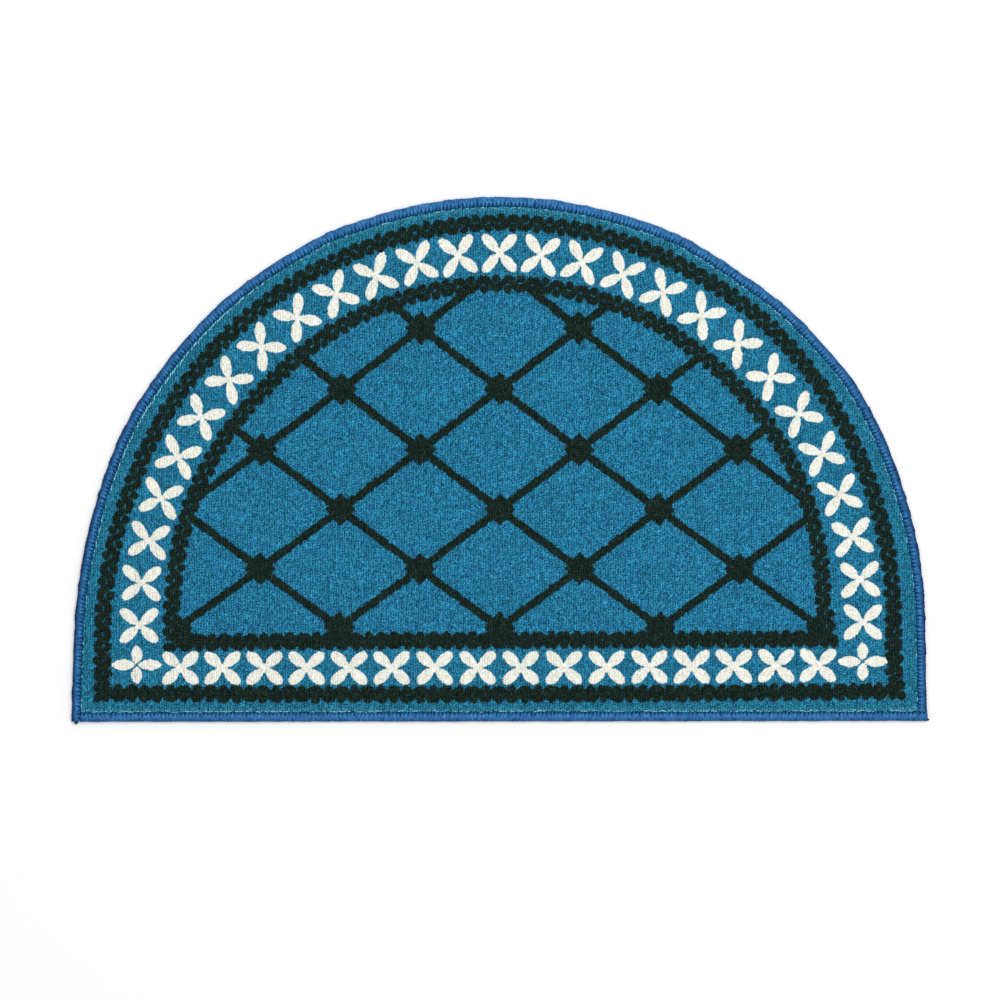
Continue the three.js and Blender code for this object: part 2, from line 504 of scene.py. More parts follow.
# The paler, speckled loops beside the needle holes: how far in, and over what width
PALE_INSET = 2.0 * MM
PALE_SPREAD = 1.6 * MM
PALE_FRONT = (14 * MM, 0.8)  # up to this height above the front edge, by this share
PALE_ARCH_SPREAD = 32  # degrees to each side of the top of the arch
PILE_ATTRIBUTES = ("black", "white", "worn", "tone", "grain", "hollow", "inset")


class PileGrid:
    """Every grid point of the pile: where it is, and how its yarn is dyed."""

    def __init__(self, settings):
        self.column, self.row = settings.column_pitch, settings.row_pitch
        half_columns = math.ceil(WIDTH / 2 / self.column)
        rows = math.ceil(DEPTH / self.row)
        i = np.arange(-half_columns * VERTS_PER_COLUMN, half_columns * VERTS_PER_COLUMN + 1)
        j = np.arange(rows * VERTS_PER_ROW + 1)
        self.i, self.j = np.meshgrid(i, j, indexing="ij")
        self.loop_column = np.floor_divide(self.i, VERTS_PER_COLUMN)
        self.loop_row = np.floor_divide(self.j, VERTS_PER_ROW)
        self.gap = np.mod(self.i, VERTS_PER_COLUMN) == 0
        self.dip = np.mod(self.j, VERTS_PER_ROW) == 0
        self.chance(half_columns, rows)
        self.set_out(settings)
        self.dye()

    def chance(self, half_columns, rows):
        """Random numbers, one or two for each loop."""
        rng = np.random.default_rng(SEED)
        shape = (2 * half_columns + 2, rows + 2)
        column, row = self.loop_column + half_columns, self.loop_row
        self.tone = rng.uniform(0, 1, shape)[column, row]
        self.lift = jitter(rng, 1, 2, shape)[column, row]
        self.shift_x = jitter(rng, 1, 2, shape)[column, row]
        self.shift_y = jitter(rng, 1, 2, shape)[column, row]
        self.point_chance = jitter(rng, 1, 2, self.i.shape)
        self.grain = rng.uniform(0, 1, self.i.shape)
        stagger = rng.uniform(0, 1, shape[0])
        self.stagger = np.where(
            self.gap, (stagger[column] + stagger[column - 1]) / 2, stagger[column]
        )

    def set_out(self, settings):
        """Places of all the points."""
        flat_x = self.i * self.column / VERTS_PER_COLUMN
        flat_y = FRONT_Y + (self.j / VERTS_PER_ROW + self.stagger - 0.5) * self.row
        wander_x = soft_noise(flat_x, flat_y, WANDER_CELLS[0], SEED + 1)
        wander_y = soft_noise(flat_x, flat_y, WANDER_CELLS[1], SEED + 2)
        loose = settings.unevenness
        self.x = flat_x + WANDER * wander_x + loose * (STRAY[0] * self.shift_x)
        self.y = flat_y + WANDER * wander_y + loose * (STRAY[1] * self.shift_y)
        self.inset = inset_of(self.x, self.y)
        deep = np.where(self.gap, settings.column_gap, 0)
        deep = deep + np.where(self.dip, settings.row_gap, 0)
        deep = deep * (1 + 0.5 * loose * self.point_chance).clip(0, 2)
        patches = soft_noise(flat_x, flat_y, PATCH_CELL, SEED + 3)
        rest = settings.height + PATCH_LIFT * patches + STRAY[2] * loose * self.lift
        rise = ((self.inset - EDGING_REACH) / SHOULDER).clip(0, 1)
        rise = np.sqrt(rise * (2 - rise))
        # How deep each point lies between the loops, which sets the painted shade there
        self.hollow = (deep / (settings.column_gap + settings.row_gap)).clip(0, 1)
        self.z = PRESSED_TOP + (rest - deep - PRESSED_TOP) * rise
        self.z = np.maximum(self.z, PILE_ROOT + LEAST_LOOP)
        places = np.stack([self.x, self.y, self.z], axis=-1)
        upright = np.cross(np.gradient(places, axis=0), np.gradient(places, axis=1))
        self.upright = upright / np.linalg.norm(upright, axis=-1)[..., None]

    def dye(self):
        """The print on each point, read a little off its place so that edges follow the loops."""
        x = self.x + DYE_STRAY * self.shift_y
        y = self.y + DYE_STRAY * self.shift_x
        self.black = black_print(x, y)
        self.white = flowers((self.x + x) / 2, (self.y + y) / 2)
        from_needle = self.inset - EDGING_REACH - PALE_INSET
        degrees = np.degrees(np.arctan2(y - SPRING_Y, x))
        over_arch = np.exp(-(((degrees - 90) / PALE_ARCH_SPREAD) ** 2))
        share = np.where(y < FRONT_Y + PALE_FRONT[0], PALE_FRONT[1], over_arch)
        self.worn = np.exp(-((from_needle / PALE_SPREAD) ** 2)) * share


def border_loop(faces):
    """The border of a patch of quads, as corners in order, the patch on the left."""
    starts = np.concatenate([faces[:, k] for k in range(4)])
    ends = np.concatenate([faces[:, (k + 1) % 4] for k in range(4)])
    inner = set(zip(ends.tolist(), starts.tolist()))
    after = {a: b for a, b in zip(starts.tolist(), ends.tolist()) if (a, b) not in inner}
    first = min(after)
    loop = [first]
    while after[loop[-1]] != first:
        loop.append(after[loop[-1]])
    if len(loop) != len(after):
        raise RuntimeError("a pile strip has more than one border")
    return np.array(loop)


def mesh_piece(name, points, faces, smooth=True):
    """A new object whose mesh holds these points and faces."""
    mesh = bpy.data.meshes.new(name)
    mesh.from_pydata(points.tolist(), [], faces)
    mesh.polygons.foreach_set("use_smooth", [smooth] * len(faces))
    piece = bpy.data.objects.new(name, mesh)
    bpy.context.scene.collection.objects.link(piece)
    return piece


def face_outwards(piece):
    """Turn every face of a closed piece outwards."""
    bpy.ops.object.select_all(action="DESELECT")
    piece.select_set(True)
    bpy.context.view_layer.objects.active = piece
    bpy.ops.object.mode_set(mode="EDIT")
    bpy.ops.mesh.select_all(action="SELECT")
    bpy.ops.mesh.normals_make_consistent(inside=False)
    bpy.ops.object.mode_set(mode="OBJECT")


def add_attributes(piece, **values_by_name):
    """Named numbers, one for each point of a piece."""
    for name, values in values_by_name.items():
        layer = piece.data.attributes.new(name, "FLOAT", "POINT")
        layer.data.foreach_set("value", np.asarray(values, np.float32))


def add_uv(piece, name, u_of_point, v_of_point):
    """A UV map from one pair of numbers for each point."""
    layer = piece.data.uv_layers.new(name=name)
    corners = np.zeros(len(piece.data.loops), np.int64)
    piece.data.loops.foreach_get("vertex_index", corners)
    pairs = np.stack([u_of_point[corners], v_of_point[corners]], axis=1)
    layer.uv.foreach_set("vector", pairs.astype(np.float32).ravel())


def pile_strip(name, grid, low_row, high_row):
    """One strip of the pile, closed by a skirt and a flat root."""
    number = np.arange(grid.i.size).reshape(grid.i.shape)
    kept = grid.inset > PILE_END
    cell = kept[:-1, :-1] & kept[1:, :-1] & kept[1:, 1:] & kept[:-1, 1:]
    rows = np.arange(cell.shape[1])
    cell &= ((rows >= low_row) & (rows < high_row))[None, :]
    a, b = np.nonzero(cell)
    quads = np.stack(
        [number[a, b], number[a + 1, b], number[a + 1, b + 1], number[a, b + 1]], axis=1
    )
    used, quads = np.unique(quads, return_inverse=True)
    quads = quads.reshape(-1, 4)
    values = {key: getattr(grid, key).ravel()[used] for key in ("x", "y", "z", *PILE_ATTRIBUTES)}
    loop = border_loop(quads)
    root = len(used) + np.arange(len(loop))
    following = np.roll(np.arange(len(loop)), -1)
    skirt = np.stack([loop[following], loop, root, root[following]], axis=1)
    points = np.stack([values["x"], values["y"], values["z"]], axis=1)
    foot = points[loop]
    foot[:, 2] = PILE_ROOT
    points = np.concatenate([points, foot])
    piece = mesh_piece(name, points, [*quads.tolist(), *skirt.tolist(), root[::-1].tolist()])
    upright = grid.upright.reshape(-1, 3)[used]
    normals = np.concatenate([upright, upright[loop]])
    piece.data.normals_split_custom_set_from_vertices(normals.tolist())
    for key in PILE_ATTRIBUTES:
        values[key] = np.concatenate([values[key], values[key][loop]])
    add_attributes(piece, **{key: values[key] for key in PILE_ATTRIBUTES})
    flat = (points - points.min(0)) / (points.max(0) - points.min(0))
    add_uv(piece, "OFBake", 0.01 + 0.98 * flat[:, 0], 0.01 + 0.98 * flat[:, 1])
    return piece


# Edging

STITCH_SIDES = 8
# A stitch across the edge: inset and height of its middle, half its width and half its thickness,
# in millimetres, with the widths for stitches that lie one such pitch apart
STITCH_PATH_PITCH = 2.85 * MM
STITCH_PATH = (
    (8.9, 3.5, 0.42, 0.30),
    (8.5, 4.2, 0.60, 0.38),
    (7.6, 4.52, 0.84, 0.40),
    (6.4, 4.70, 1.12, 0.43),
    (5.1, 4.88, 1.42, 0.46),
    (3.4, 4.86, 1.64, 0.46),
    (1.8, 4.38, 1.74, 0.46),
    (0.8, 3.45, 1.74, 0.46),
    (0.5, 2.45, 1.70, 0.46),
    (0.9, 1.45, 1.70, 0.46),
    (1.9, 0.75, 1.65, 0.45),
    (3.6, 0.50, 1.50, 0.45),
    (5.8, 0.48, 1.00, 0.42),
    (8.4, 0.50, 0.55, 0.40),
)
# How uneven the stitches' places are, as a share of the pitch, and their widths: spread and most
STITCH_PLACE = (0.06, 0.14)
STITCH_SIZE = (0.05, 0.12)
SLANT_POWER = 0.6  # under 1, a stitch slants most on top of the edge
# How far the stitches swell out and sink in: over what length, how far, and a seed of its own
SWELLS = ((13 * MM, 0.2 * MM, 5), (5.5 * MM, 0.55 * MM, 6))
TOP_OUT = 0.6 * MM  # how much further out they lie at the top of the arch
# How much painted shade the outside of a stitch gets at the top of the arch, and how much more it
# gets where the edge faces sideways and where it faces the front
SIDE_SHADE = (0.12, 0.88, 0.36)
CORE_STEP = 4 * MM
CORE_SHORTER = 0.8 * MM  # than its run, at each end
# Which corner, where a loose end starts and ends, and how thick it is
THREAD_ENDS = (
    (
        "left",
        (-WIDTH / 2 + 3.4 * MM, FRONT_Y + 3.0 * MM, 2.7 * MM),
        (-WIDTH / 2 + 3.3 * MM, FRONT_Y - 2.3 * MM, 2.2 * MM),
        2.6 * MM,
    ),
    (
        "right",
        (WIDTH / 2 - 3.0 * MM, FRONT_Y + 2.4 * MM, 2.4 * MM),
        (WIDTH / 2 + 2.2 * MM, FRONT_Y + 1.6 * MM, 1.6 * MM),
        1.6 * MM,
    ),
)
THREAD_END_RINGS, THREAD_END_SIDES = 5, 8
THREAD_END_TAPER = 0.8  # the share of its section that is gone at its tip
# What its yarn looks like, its painted shade included: as if at this place on a stitch
THREAD_END_LOOK = {"tone": 0.2, "inset": 0.8 * MM, "side": 0.9}
THREAD_LENGTH = 0.54  # half the length of a dash of the needle thread, as a share of the pitch
THREAD_WIDTH, THREAD_THICKNESS = 0.62 * MM, 0.34 * MM  # half of each
THREAD_STRETCH = (0.1, 0.2)  # how uneven that length is: spread and most
THREAD_INSET = 0.25 * MM  # from the needle holes
THREAD_STRAY = 0.1 * MM
THREAD_TILT = (0.12, 0.08)  # its mean and its spread
THREAD_HEIGHT = 4.15 * MM
BARE_LOOPS_PER_STITCH = 1.3
# The angle of each shoulder, how far round it the bare loops spread, and the share that shows
LEFT_SHOULDER = (142, 23, 0.85)
RIGHT_SHOULDER = (42, 24, 0.35)
BARE_CLUSTER = 11 * MM  # along the front, where they come and go
BARE_MARGIN = 12 * MM  # with none this near to the end of a run
# Half the length and half the width of a bare loop, its tilt, and how far in from the needle holes
# it lies: first anywhere, then what the left shoulder adds
BARE_LENGTH = (1.35 * MM, 0.35 * MM)
BARE_WIDTH = (0.48 * MM, 0.14 * MM)
BARE_TILT = (math.radians(8), math.radians(20))
BARE_INSET = (1.1 * MM, 1.3 * MM)
BARE_STRAY = 0.3 * MM
BARE_THICKNESS = 0.3 * MM  # half of it
BARE_FOOT, BARE_RISE = 3.8 * MM, 1.5 * MM  # height at the needle holes, and the rise to the pile
# The core under the stitches, coloured dark as painted shade in the gaps between them: inset and
# height, in millimetres
CORE_SECTION = (
    (8.4, 4.05),
    (7.6, 4.38),
    (5.5, 4.5),
    (3.4, 4.45),
    (2.0, 4.05),
    (1.2, 3.3),
    (1.0, 2.5),
    (1.2, 1.7),
    (2.0, 1.0),
    (3.4, 0.6),
    (8.4, 0.55),
    (8.4, 0.9),
    (4.65, 0.9),
    (4.65, 4.05),
)


def tube_faces(rings, sides, first):
    """Faces of a closed tube of rings, and of the flat caps at its ends."""
    faces = []
    for ring in range(rings - 1):
        low, high = first + ring * sides, first + (ring + 1) * sides
        for side in range(sides):
            other = (side + 1) % sides
            faces.append((low + side, low + other, high + other, high + side))
    faces.append(tuple(first + side for side in reversed(range(sides))))
    faces.append(tuple(first + (rings - 1) * sides + side for side in range(sides)))
    return faces


def add_tube_uv(piece, count, rings, sides):
    """A UV map of equal cells, one for each tube: its wall unrolled, and its two caps above."""
    columns = math.ceil(math.sqrt(count))
    cell = [
        (0.04 + 0.92 * (side + right) / sides, 0.03 + 0.87 * (ring + up) / (rings - 1))
        for ring in range(rings - 1)
        for side in range(sides)
        for right, up in ((0, 0), (1, 0), (1, 1), (0, 1))
    ]
    for middle in (0.25, 0.75):
        for side in range(sides):
            turn = 2 * math.pi * side / sides
            cell.append((middle + 0.02 * math.cos(turn), 0.96 + 0.02 * math.sin(turn)))
    k = np.arange(count)
    corners = np.stack([k % columns, k // columns], axis=1)
    pairs = (corners[:, None, :] + np.array(cell)[None]) / columns
    layer = piece.data.uv_layers.new(name="OFBake")
    layer.uv.foreach_set("vector", pairs.astype(np.float32).ravel())


def stitches(name, run, settings, seed, fullness, raggedness):
    """Wrapped stitches all along a run, joined in one mesh."""
    rng = np.random.default_rng(seed)
    count = round(run.length / settings.stitch_pitch)
    path = np.array(STITCH_PATH) * MM
    middle, half_width, half_thick = path[:, :2], path[:, 2], path[:, 3]
    tangent = np.gradient(middle, axis=0)
    tangent /= np.linalg.norm(tangent, axis=1)[:, None]
    normal = np.stack([tangent[:, 1], -tangent[:, 0]], axis=1)
    turn = 2 * math.pi * (np.arange(STITCH_SIDES) + 0.5) / STITCH_SIDES
    wide = settings.stitch_pitch / STITCH_PATH_PITCH * fullness
    slant = np.linspace(0, 1, len(path)) ** SLANT_POWER * settings.slant
    along = slant[:, None] + wide * half_width[:, None] * np.cos(turn)[None, :]
    inset = middle[:, :1] + normal[:, :1] * half_thick[:, None] * np.sin(turn)[None, :]
    height = middle[:, 1:] + normal[:, 1:] * half_thick[:, None] * np.sin(turn)[None, :]
    starts = (np.arange(count) + 0.5) * run.length / count - settings.slant / 2
    starts = starts + jitter(rng, *STITCH_PLACE, count) * settings.stitch_pitch
    size = 1 + jitter(rng, *STITCH_SIZE, count)
    swollen = sum(
        soft_noise(starts, starts * 0, cell, seed + own) * out for cell, out, own in SWELLS
    )
    inward_x, inward_y = (np.interp(starts, run.along, run.inward[:, k]) for k in range(2))
    swollen = swollen * raggedness - TOP_OUT * inward_y.clip(-1, 0)
    all_along = starts[:, None, None] + along[None] * size[:, None, None]
    outer = (1 - middle[:, 0] / EDGING_REACH).clip(0, 1)[None, :, None]
    all_inset = inset[None] - outer * swollen[:, None, None]
    x, y = run.place(all_along.clip(0, run.length), all_inset)
    points = np.stack([x, y, np.broadcast_to(height[None], x.shape)], axis=-1).reshape(-1, 3)
    each = len(path) * STITCH_SIDES
    faces = []
    for k in range(count):
        faces += tube_faces(len(path), STITCH_SIDES, k * each)
    piece = mesh_piece(name, points, faces)
    # How much painted shade the outside of each stitch takes, by the way the edge faces
    anywhere, sideways, forwards = SIDE_SHADE
    shade = anywhere + sideways * inward_x**2 + forwards * inward_y.clip(0, 1)
    add_attributes(
        piece,
        tone=np.repeat(rng.uniform(0, 1, count), each),
        inset=all_inset.ravel(),
        along=all_along.ravel(),
        side=np.repeat(shade, each),
    )
    add_tube_uv(piece, count, len(path), STITCH_SIDES)
    return piece


def core(name, run):
    """The roll under the stitches, coloured dark as painted shade in the gaps between them."""
    count = max(2, round(run.length / CORE_STEP))
    along = np.linspace(CORE_SHORTER, run.length - CORE_SHORTER, count)
    section = np.array(CORE_SECTION) * MM
    x, y = run.place(along[:, None] + 0 * section[None, :, 0], section[None, :, 0])
    z = np.broadcast_to(section[None, :, 1], x.shape)
    points = np.stack([x, y, z], axis=-1).reshape(-1, 3)
    piece = mesh_piece(name, points, tube_faces(count, len(section), 0), smooth=False)
    face_outwards(piece)
    return piece


def thread_end(name, start, end, radius):
    """A loose end of yarn that sticks out of the edging at a corner, thinner at its tip."""
    along = np.linspace(0, 1, THREAD_END_RINGS)[:, None, None]
    turn = 2 * math.pi * np.arange(THREAD_END_SIDES) / THREAD_END_SIDES
    start, end = np.array(start), np.array(end)
    way = (end - start) / np.linalg.norm(end - start)
    side = np.cross(way, (0, 0, 1))
    side /= np.linalg.norm(side)
    up = np.cross(side, way)
    circle = np.cos(turn)[:, None] * side + np.sin(turn)[:, None] * up
    thick = radius * np.sqrt(1 - THREAD_END_TAPER * along**2)
    points = (start + (end - start) * along + circle[None] * thick).reshape(-1, 3)
    piece = mesh_piece(name, points, tube_faces(THREAD_END_RINGS, THREAD_END_SIDES, 0))
    look = {name: np.full(len(points), value) for name, value in THREAD_END_LOOK.items()}
    add_attributes(piece, along=points[:, 0], **look)
    return piece


def ball_model():
    """Points and faces of a small coarse ball, to be drawn out into dashes."""
    bpy.ops.object.select_all(action="DESELECT")
    bpy.ops.mesh.primitive_uv_sphere_add(segments=6, ring_count=5, radius=1)
    model = bpy.context.object
    points = np.array([corner.co[:] for corner in model.data.vertices])
    faces = [tuple(face.vertices) for face in model.data.polygons]
    bpy.data.objects.remove(model)
    return points, faces


def join_dashes(name, places, ball_faces, rng):
    """One mesh of many dashes, from X, Y and Z of their points, with a row for each dash."""
    points = np.stack(places, axis=-1)
    count, each = points.shape[:2]
    faces = [
        tuple(k * each + corner for corner in face) for k in range(count) for face in ball_faces
    ]
    piece = mesh_piece(name, points.reshape(-1, 3), faces)
    add_attributes(piece, tone=np.repeat(rng.uniform(0, 1, count), each))
    return piece


def needle_thread(name, run, settings, seed):
    """The thread that lies in the needle line: one dash between each pair of holes. Its dark colour
    is partly the thread's own and partly painted shade of the needle line.
    """
    ball, ball_faces = ball_model()
    rng = np.random.default_rng(seed)
    count = round(run.length / settings.stitch_pitch)
    starts = (np.arange(count) + 0.5) * run.length / count
    long = THREAD_LENGTH * settings.stitch_pitch
    length = long * (1 + jitter(rng, *THREAD_STRETCH, count))
    inset = EDGING_REACH + THREAD_INSET + rng.normal(0, THREAD_STRAY, count)
    along = starts[:, None] + ball[None, :, 2] * length[:, None]
    tilt = rng.normal(*THREAD_TILT, count)[:, None] * ball[None, :, 2] * long
    inset = inset[:, None] + ball[None, :, 0] * THREAD_WIDTH + tilt
    x, y = run.place(along.clip(0, run.length), inset)
    z = THREAD_HEIGHT + ball[None, :, 1] * THREAD_THICKNESS + 0 * x
    return join_dashes(name, (x, y, z), ball_faces, rng)


def bare_loops(name, run, settings, seed, along_front):
    """Loops that kept no dye, where the stitches part the pile: short pale dashes."""
    ball, ball_faces = ball_model()
    rng = np.random.default_rng(seed)
    count = round(run.length / settings.stitch_pitch * BARE_LOOPS_PER_STITCH)
    starts = (np.arange(count) + rng.uniform(0.3, 0.7, count)) * run.length / count
    x, y = run.place(starts, 0.0)
    degrees = np.degrees(np.arctan2(y - SPRING_Y, x))
    left, right = (
        share * np.exp(-(((degrees - angle) / spread) ** 2))
        for angle, spread, share in (LEFT_SHOULDER, RIGHT_SHOULDER)
    )
    clusters = soft_noise(starts, starts * 0, BARE_CLUSTER, seed + 3)
    share = 0.5 + 0.5 * clusters if along_front else 0.1 + left + right
    kept = (rng.uniform(0, 1, count) < share) & (starts > BARE_MARGIN)
    kept &= starts < run.length - BARE_MARGIN
    starts, count = starts[kept], kept.sum()
    half_long, half_wide, tilt, middle = (
        anywhere + added * left[kept]
        for anywhere, added in (BARE_LENGTH, BARE_WIDTH, BARE_TILT, BARE_INSET)
    )
    half_long = half_long * (1 + rng.normal(0, 0.25, count)).clip(0.5, 1.6)
    middle = middle + rng.normal(0, BARE_STRAY, count)
    u = ball[None, :, 2] * half_long[:, None]
    v = ball[None, :, 0] * half_wide[:, None]
    cosine, sine = np.cos(tilt)[:, None], np.sin(tilt)[:, None]
    along = starts[:, None] + u * cosine + v * sine
    past_needle = middle[:, None] - u * sine + v * cosine
    x, y = run.place(along, EDGING_REACH + past_needle)
    rise = (past_needle / SHOULDER).clip(0, 1)
    z = BARE_FOOT + BARE_RISE * np.sqrt(rise * (2 - rise)) + ball[None, :, 1] * BARE_THICKNESS
    return join_dashes(name, (x, y, z), ball_faces, rng)


# Materials


class Nodes:
    """Short ways to add and link the nodes of one material."""

    def __init__(self, name):
        self.material = bpy.data.materials.new(name)
        self.material.use_nodes = True
        self.tree = self.material.node_tree
        self.shader = self.tree.nodes["Principled BSDF"]

    def new(self, kind, **values):
        node = self.tree.nodes.new(kind)
        for key, value in values.items():
            setattr(node, key, value)
        return node

    def link(self, source, target):
        self.tree.links.new(source, target)

    def fill(self, socket, value):
        if hasattr(value, "links"):
            self.link(value, socket)
        else:
            socket.default_value = value

    def attribute(self, name):
        return self.new("ShaderNodeAttribute", attribute_name=name).outputs["Fac"]

    def math(self, operation, first, second):
        node = self.new("ShaderNodeMath", operation=operation)
        self.fill(node.inputs[0], first)
        self.fill(node.inputs[1], second)
        return node.outputs[0]

    def plus(self, first, second):
        return self.math("ADD", first, second)

    def times(self, first, second):
        return self.math("MULTIPLY", first, second)

    def between(self, value, low, high):
        """0 below low, 1 above high and a straight ramp between."""
        node = self.new("ShaderNodeMapRange", clamp=True)
        self.fill(node.inputs["Value"], value)
        self.fill(node.inputs["From Min"], low)
        self.fill(node.inputs["From Max"], high)
        return node.outputs["Result"]

    def mix(self, share, first, second, blend="MIX"):
        node = self.new("ShaderNodeMix", data_type="RGBA", blend_type=blend)
        self.fill(node.inputs["Factor"], share)
        self.fill(node.inputs["A"], first)
        self.fill(node.inputs["B"], second)
        return node.outputs["Result"]

    def noise(self, scale, detail=2.0, stretch=(1, 1, 1), over=()):
        """Noise, about scale patches to a metre, on the piece's own coordinates or over others."""
        if over:
            joined = self.new("ShaderNodeCombineXYZ")
            for socket, value in zip(joined.inputs, over):
                self.link(value, socket)
            place = joined.outputs["Vector"]
        else:
            place = self.new("ShaderNodeTexCoord").outputs["Object"]
        mapping = self.new("ShaderNodeMapping")
        mapping.inputs["Scale"].default_value = stretch
        self.link(place, mapping.inputs["Vector"])
        node = self.new("ShaderNodeTexNoise")
        node.inputs["Scale"].default_value = scale
        node.inputs["Detail"].default_value = detail
        self.link(mapping.outputs["Vector"], node.inputs["Vector"])
        return node.outputs["Fac"]

    def surface(self, colour, roughness, specular):
        """Give the shader its colour, roughness and specular level."""
        self.fill(self.shader.inputs["Base Color"], colour)
        self.fill(self.shader.inputs["Roughness"], roughness)
        self.fill(self.shader.inputs["Specular IOR Level"], specular)

    def bump(self, height, distance, strength):
        node = self.new("ShaderNodeBump")
        node.inputs["Distance"].default_value = distance
        node.inputs["Strength"].default_value = strength
        self.link(height, node.inputs["Height"])
        self.link(node.outputs["Normal"], self.shader.inputs["Normal"])


def linear(colour, brightness=1.0):
    """A colour's channels, from the numbers a screen shows to amounts of light."""
    shown = [channel * brightness for channel in colour]
    parts = [c / 12.92 if c <= 0.04045 else ((c + 0.055) / 1.055) ** 2.4 for c in shown]
    return (*parts, 1.0)


def pile_material(dyes):
    """Dyed loops: blue ground, black and undyed white print, with painted shade where they meet
    their roots.
    """
    n = Nodes("printed loop pile")
    grain, inset = n.attribute("grain"), n.attribute("inset")
    fibre = n.noise(1000, 2.0, (1, 0.7, 1))
    loop = n.plus(n.times(n.attribute("tone"), 0.15), n.times(grain, 0.55))
    blend = n.between(n.plus(loop, n.times(n.between(fibre, 0.3, 0.7), 0.75)), 0.28, 1.17)

    # Blue ground, greener in patches, in the border and outside the outer wave
    rim = n.mix(blend, linear(dyes.ground_rim, 0.4), linear(dyes.ground_rim))
    ground = n.mix(blend, linear(dyes.ground_dark), linear(dyes.ground_light))
    in_patch = n.times(n.between(n.noise(38, 2.0), 0.35, 0.7), 0.12)
    at_rim = n.times(n.between(inset, 19 * MM, 15 * MM), 0.75)
    in_border = n.times(n.between(inset, 84 * MM, 76 * MM), 0.25)
    for share in (in_patch, at_rim, in_border):
        ground = n.mix(share, ground, rim)

    # Print, with edges that fray along the fibres
    frayed = n.times(n.math("SUBTRACT", fibre, 0.5), 1.3 * MM)
    is_black = n.between(n.plus(n.attribute("black"), frayed), 0.8 * MM, -0.5 * MM)
    few_bright = n.math("POWER", blend, 2.5)
    ink = n.mix(few_bright, linear(dyes.black, 0.35), linear(dyes.black))
    colour = n.mix(is_black, ground, ink)
    white_edge = n.plus(n.attribute("white"), n.times(frayed, 0.5))
    is_white = n.between(white_edge, 0.3 * MM, -0.3 * MM)
    undyed = n.mix(blend, linear((0.94, 0.94, 0.875)), linear((1.0, 1.0, 0.985)))
    colour = n.mix(is_white, colour, undyed)
    # Paler, speckled loops beside the needle holes, most over the top of the arch and along the
    # front
    worn = n.times(n.attribute("worn"), n.times(grain, 0.45))
    colour = n.mix(worn, colour, linear((0.45, 0.75, 0.83)))

    # Painted shade between the loops, fainter on the white ones
    deep = n.between(n.attribute("hollow"), 0.15, 0.9)
    dyed_shade = n.mix(n.times(deep, 0.75), colour, (0.12, 0.25, 0.3, 1), "MULTIPLY")
    white_shade = n.mix(n.times(deep, 0.22), colour, (0.4, 0.45, 0.42, 1), "MULTIPLY")
    colour = n.mix(is_white, dyed_shade, white_shade)
    n.surface(colour, n.plus(0.82, n.times(fibre, 0.16)), 0.18)
    n.bump(fibre, 0.35 * MM, 0.7)
    return n.material


def yarn_material(name, dark, light, shine, shaded=False):
    """Multifilament yarn with a fine twist. Round an edge it can take painted shade, outwards and
    inwards.
    """
    n = Nodes(name)
    fibre = n.noise(1500, 3.0)
    inset = n.attribute("inset")
    streak = n.noise(760, 1.0, (1, 0.35, 1), (n.attribute("along"), inset)) if shaded else fibre
    blend = n.plus(n.times(n.attribute("tone"), 0.2), n.between(streak, 0.22, 0.85))
    colour = n.mix(n.between(blend, 0.1, 1.0), dark, light)
    if shaded:
        # Painted shade on the outside of the edge, the more where the edge faces sideways
        outer = n.times(n.between(inset, 5.4 * MM, 1.2 * MM), n.attribute("side"))
        # Painted shade on the inner side, where the stitches dip towards the needle line
        inner = n.times(n.between(inset, 5.2 * MM, 8.2 * MM), 0.6)
        colour = n.mix(outer, colour, (0.02, 0.15, 0.28, 1), "MULTIPLY")
        colour = n.mix(inner, colour, (0.1, 0.46, 0.46, 1), "MULTIPLY")
    n.surface(colour, n.plus(0.6, n.times(fibre, 0.25)), shine)
    n.bump(fibre, 0.3 * MM, 0.8)
    return n.material


def core_material(dark):
    """The yarn under the stitches, dark as painted shade in the gaps between them."""
    n = Nodes("edging core")
    fibre = n.noise(1400, 2.0)
    n.surface(n.mix(fibre, linear(dark), linear(dark, 1.5)), 0.95, 0.1)
    n.bump(fibre, 0.3 * MM, 0.6)
    return n.material


def back_material(latex):
    """A coated back: the scrim shows through the latex as fine squares."""
    n = Nodes("coated back")
    squares = n.new("ShaderNodeTexBrick", offset=0.0)
    sizes = {
        "Scale": 1.0,
        "Brick Width": 2.3 * MM,
        "Row Height": 2.5 * MM,
        "Mortar Size": 0.25 * MM,
        "Mortar Smooth": 0.6,
    }
    for socket, size in sizes.items():
        squares.inputs[socket].default_value = size
    n.link(n.new("ShaderNodeTexCoord").outputs["Object"], squares.inputs["Vector"])
    scrim, patch = squares.outputs["Fac"], n.noise(60, 3.0)
    coat = n.mix(patch, linear(latex), linear(latex, 0.88))
    n.surface(n.mix(n.times(scrim, 0.35), coat, linear((0.5, 0.5, 0.47))), 0.62, 0.5)
    n.bump(n.math("SUBTRACT", n.times(patch, 0.5), scrim), 0.25 * MM, 0.8)
    return n.material


# Settings


def length_property(name, description, default):
    return FloatProperty(
        name=name,
        description=description,
        default=default,
        precision=5,
        subtype="DISTANCE",
        unit="LENGTH",
    )


def colour_property(name, description, default):
    return FloatVectorProperty(
        name=name, description=description, default=default, subtype="COLOR_GAMMA"
    )


